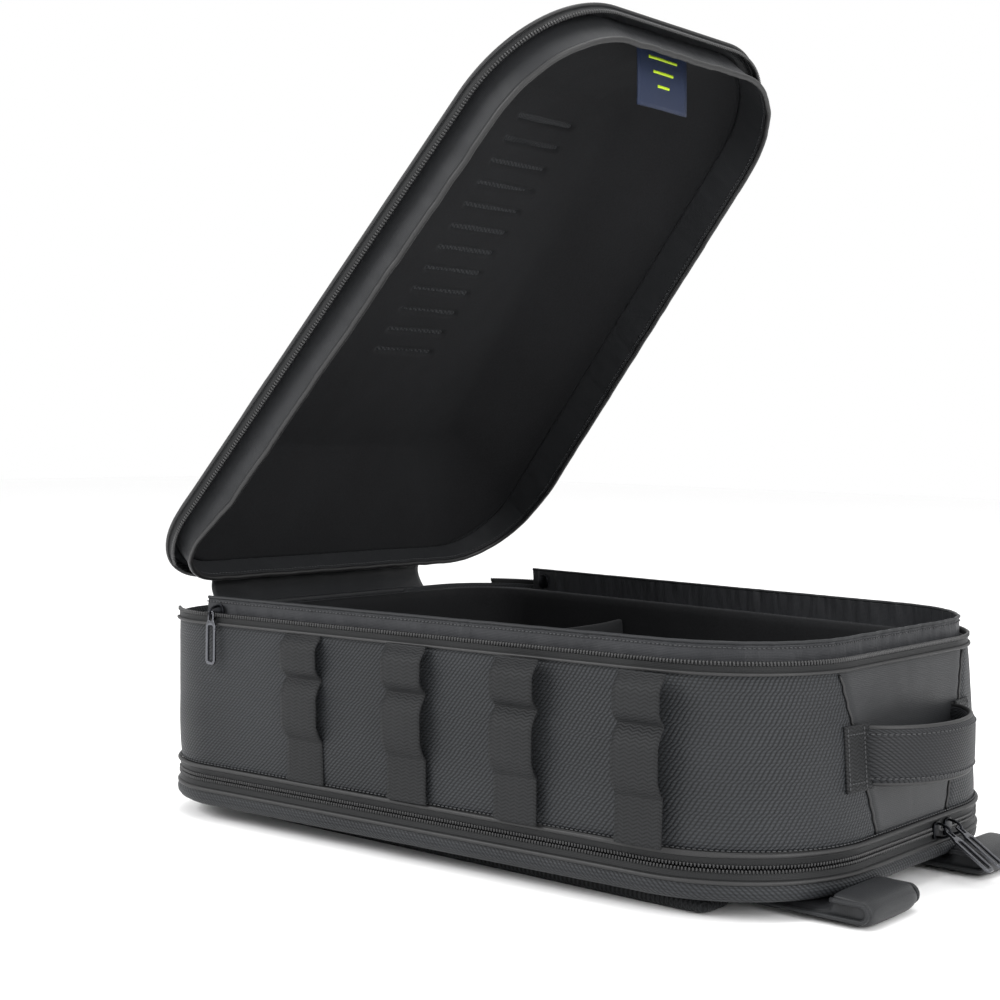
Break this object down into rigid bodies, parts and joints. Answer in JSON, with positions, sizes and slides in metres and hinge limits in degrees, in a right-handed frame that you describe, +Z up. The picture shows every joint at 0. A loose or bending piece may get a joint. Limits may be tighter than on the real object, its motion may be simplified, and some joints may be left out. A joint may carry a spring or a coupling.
{
  "type": "drone carrying case",
  "caption": "Semi-rigid backpack case for a quadcopter, lying on its back with its moulded lid open.",
  "frame": {"origin": "on the floor, under the middle of the case", "axes": "+X to the end with the grab handle, +Y to the far long side, +Z up"},
  "size_m": [0.5504, 0.3798, 0.5401],
  "materials": {
    "twill_nylon": "coarse ballistic twill",
    "smooth_nylon": "fine plain weave",
    "board": "stiffener board",
    "brushed_lining": "brushed knit",
    "webbing": "woven webbing",
    "zip_tape": "herringbone tape with nylon coil",
    "lip_nylon": "gathered nylon",
    "handle_webbing": "padded webbing",
    "piping": "covered cord",
    "air_mesh": "spacer mesh",
    "lid_twill": "twill over moulded foam",
    "label_cloth": "woven label",
    "strap_cloth": "padded nylon",
    "buckle": "moulded acetal",
    "slider_metal": "gunmetal",
    "pull_metal": "gunmetal plate"
  },
  "bodies": {
    "case": {"near_side_panel": "twill_nylon", "far_side_panel": "twill_nylon", "handle_end_panel": "smooth_nylon", "hinge_end_panel": "smooth_nylon", "base_board": "board", "foam_liner": "brushed_lining", "floor_pad": "brushed_lining", "bay_divider": "brushed_lining", "drone_strap": "webbing", "rim_zip_body": "zip_tape", "body_lip": "lip_nylon", "hinge_strip_body": "smooth_nylon", "grab_handle": "handle_webbing", "handle_tabs": "webbing", "lower_zip_body": "zip_tape", "body_piping": "piping", "panel_strip_body": "smooth_nylon", "propeller_loop_near_1": "webbing", "propeller_loop_near_2": "webbing", "propeller_loop_near_3": "webbing", "propeller_loop_near_4": "webbing", "propeller_loop_far_1": "webbing", "propeller_loop_far_2": "webbing", "propeller_loop_far_3": "webbing", "propeller_loop_far_4": "webbing"},
    "lid": {"lid_shell": "lid_twill", "lid_lining": "brushed_lining", "lid_flange": "lip_nylon", "lid_rim_piping": "piping", "rim_zip_lid": "zip_tape", "hinge_strip_lid": "smooth_nylon", "lid_label": "label_cloth"},
    "back_panel": {"back_panel": "twill_nylon", "panel_piping": "piping", "lower_zip_panel": "zip_tape", "panel_strip": "smooth_nylon", "back_pads": "air_mesh", "shoulder_strap_near": "strap_cloth", "ladder_lock_near": "buckle", "strap_webbing_near": "webbing", "shoulder_strap_far": "strap_cloth", "ladder_lock_far": "buckle", "strap_webbing_far": "webbing"},
    "rim_slider_near": {"rim_slider_near": "slider_metal"},
    "rim_pull_near": {"rim_pull_near": "pull_metal"},
    "rim_slider_far": {"rim_slider_far": "slider_metal"},
    "rim_pull_far": {"rim_pull_far": "pull_metal"},
    "lower_slider_near": {"lower_slider_near": "slider_metal"},
    "lower_pull_near": {"lower_pull_near": "pull_metal"},
    "lower_slider_far": {"lower_slider_far": "slider_metal"},
    "lower_pull_far": {"lower_pull_far": "pull_metal"}
  },
  "joints": [
    {"name": "lid_hinge", "type": "hinge", "parent": "case", "child": "lid", "pos_m": [-0.257, 0, 0.155], "axis": [0, -1, 0], "range_deg": [-50, 130]},
    {"name": "laptop_panel_hinge", "type": "hinge", "parent": "case", "child": "back_panel", "pos_m": [-0.2521, 0, 0.0305], "axis": [0, 1, 0], "range_deg": [0, 60]},
    {"name": "rim_slider_near_travel", "type": "slide", "parent": "case", "child": "rim_slider_near", "axis": [0.9989, 0.0469, 0], "range_m": [0, 0.3]},
    {"name": "rim_pull_near_swing", "type": "hinge", "parent": "rim_slider_near", "child": "rim_pull_near", "pos_m": [-0.17159, -0.18696, 0.146], "axis": [-0.9989, -0.0469, 0], "range_deg": [0, 150]},
    {"name": "rim_slider_far_travel", "type": "slide", "parent": "case", "child": "rim_slider_far", "axis": [0.9989, -0.0469, 0], "range_m": [0, 0.3]},
    {"name": "rim_pull_far_swing", "type": "hinge", "parent": "rim_slider_far", "child": "rim_pull_far", "pos_m": [-0.17159, 0.18696, 0.146], "axis": [0.9989, -0.0469, 0], "range_deg": [0, 150]},
    {"name": "lower_slider_near_travel", "type": "slide", "parent": "case", "child": "lower_slider_near", "axis": [0, 1, 0], "range_m": [-0.09, 0]},
    {"name": "lower_pull_near_swing", "type": "hinge", "parent": "lower_slider_near", "child": "lower_pull_near", "pos_m": [0.2614, 0.028, 0.0305], "axis": [0, -1, 0], "range_deg": [0, 95]},
    {"name": "lower_slider_far_travel", "type": "slide", "parent": "case", "child": "lower_slider_far", "axis": [0, 1, 0], "range_m": [0, 0.018]},
    {"name": "lower_pull_far_swing", "type": "hinge", "parent": "lower_slider_far", "child": "lower_pull_far", "pos_m": [0.2614, 0.043, 0.0305], "axis": [0, -1, 0], "range_deg": [0, 95]}
  ]
}
